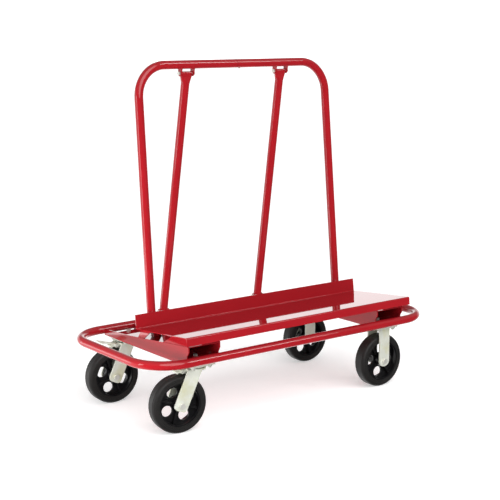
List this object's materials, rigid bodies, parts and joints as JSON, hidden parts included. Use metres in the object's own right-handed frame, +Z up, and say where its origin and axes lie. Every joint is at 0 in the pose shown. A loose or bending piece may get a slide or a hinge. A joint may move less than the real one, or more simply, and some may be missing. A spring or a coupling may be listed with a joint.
{
  "type": "sheet material cart",
  "caption": "Four-wheeled cart with a tilted folded deck, tube bumper ring and a braced inverted-U upright for carrying wallboard and other sheets on edge.",
  "frame": {"origin": "on the floor under the middle of the bumper ring", "axes": "+X along the cart towards the rigid casters, +Y from the loading side to the braces, +Z up"},
  "size_m": [1.3036, 0.6056, 1.2451],
  "materials": {
    "red_paint": "glossy powder coat over steel tube and folded sheet",
    "zinc_plate": "zinc plated pressed steel with a faint yellow-green passivation",
    "fastener_zinc": "bright zinc plated bolts and nuts",
    "bearing_steel": "ground bearing steel, lightly greased",
    "plain_steel": "bare mild steel",
    "cast_black": "black painted casting, semi-gloss",
    "tread_rubber": "moulded black rubber, satin"
  },
  "bodies": {
    "frame": {"base_ring": "red_paint", "deck": "red_paint", "bolster_left": "red_paint", "bolster_lid_left": "red_paint", "deck_supports_left": "red_paint", "upright_left": "red_paint", "brace_left": "red_paint", "brace_top_ears_left": "red_paint", "brace_foot_ears_left": "red_paint", "bolster_right": "red_paint", "bolster_lid_right": "red_paint", "deck_supports_right": "red_paint", "upright_right": "red_paint", "brace_right": "red_paint", "brace_top_ears_right": "red_paint", "brace_foot_ears_right": "red_paint", "leg_plugs": "plain_steel", "leg_foot_bolts": "fastener_zinc", "upright_ferrule": "plain_steel", "ferrule_screw": "fastener_zinc", "brace_top_bolts": "fastener_zinc", "brace_foot_bolts": "fastener_zinc", "plate_swivel_front": "zinc_plate", "kingpin_swivel_front": "zinc_plate", "balls_swivel_front": "bearing_steel", "mount_bolts_swivel_front": "fastener_zinc", "plate_swivel_rear": "zinc_plate", "kingpin_swivel_rear": "zinc_plate", "balls_swivel_rear": "bearing_steel", "mount_bolts_swivel_rear": "fastener_zinc", "fork_rigid_front": "zinc_plate", "mount_bolts_rigid_front": "fastener_zinc", "axle_rigid_front": "fastener_zinc", "bushing_rigid_front": "bearing_steel", "fork_rigid_rear": "zinc_plate", "mount_bolts_rigid_rear": "fastener_zinc", "axle_rigid_rear": "fastener_zinc", "bushing_rigid_rear": "bearing_steel"},
    "caster_front": {"fork_swivel_front": "zinc_plate", "brake_pin_swivel_front": "fastener_zinc", "axle_swivel_front": "fastener_zinc", "bushing_swivel_front": "bearing_steel"},
    "brake_front": {"brake_pedal_swivel_front": "zinc_plate"},
    "caster_rear": {"fork_swivel_rear": "zinc_plate", "brake_pin_swivel_rear": "fastener_zinc", "axle_swivel_rear": "fastener_zinc", "bushing_swivel_rear": "bearing_steel"},
    "brake_rear": {"brake_pedal_swivel_rear": "zinc_plate"},
    "wheel_swivel_front": {"wheel_centre_swivel_front": "cast_black", "tyre_swivel_front": "tread_rubber", "bearing_swivel_front": "bearing_steel"},
    "wheel_swivel_rear": {"wheel_centre_swivel_rear": "cast_black", "tyre_swivel_rear": "tread_rubber", "bearing_swivel_rear": "bearing_steel"},
    "wheel_rigid_front": {"wheel_centre_rigid_front": "cast_black", "tyre_rigid_front": "tread_rubber", "bearing_rigid_front": "bearing_steel"},
    "wheel_rigid_rear": {"wheel_centre_rigid_rear": "cast_black", "tyre_rigid_rear": "tread_rubber", "bearing_rigid_rear": "bearing_steel"}
  },
  "joints": [
    {"name": "swivel_front", "type": "hinge", "parent": "frame", "child": "caster_front", "pos_m": [-0.427, -0.22, 0.22], "axis": [0, 0, 1], "continuous": true},
    {"name": "wheel_spin_swivel_front", "type": "hinge", "parent": "caster_front", "child": "wheel_swivel_front", "pos_m": [-0.49305, -0.21072, 0.1016], "axis": [0.1392, 0.9903, 0], "continuous": true},
    {"name": "brake_front", "type": "hinge", "parent": "caster_front", "child": "brake_front", "pos_m": [-0.48047, -0.21249, 0.2153], "axis": [-0.1392, -0.9903, 0], "range_deg": [0, 16]},
    {"name": "swivel_rear", "type": "hinge", "parent": "frame", "child": "caster_rear", "pos_m": [-0.427, 0.22, 0.22], "axis": [0, 0, 1], "continuous": true},
    {"name": "wheel_spin_swivel_rear", "type": "hinge", "parent": "caster_rear", "child": "wheel_swivel_rear", "pos_m": [-0.49361, 0.22349, 0.1016], "axis": [0.0523, 0.9986, 0], "continuous": true},
    {"name": "brake_rear", "type": "hinge", "parent": "caster_rear", "child": "brake_rear", "pos_m": [-0.48093, 0.22283, 0.2153], "axis": [-0.0523, -0.9986, 0], "range_deg": [0, 16]},
    {"name": "wheel_spin_rigid_front", "type": "hinge", "parent": "frame", "child": "wheel_rigid_front", "pos_m": [0.427, -0.22, 0.1016], "axis": [0, 1, 0], "continuous": true},
    {"name": "wheel_spin_rigid_rear", "type": "hinge", "parent": "frame", "child": "wheel_rigid_rear", "pos_m": [0.427, 0.22, 0.1016], "axis": [0, 1, 0], "continuous": true}
  ]
}
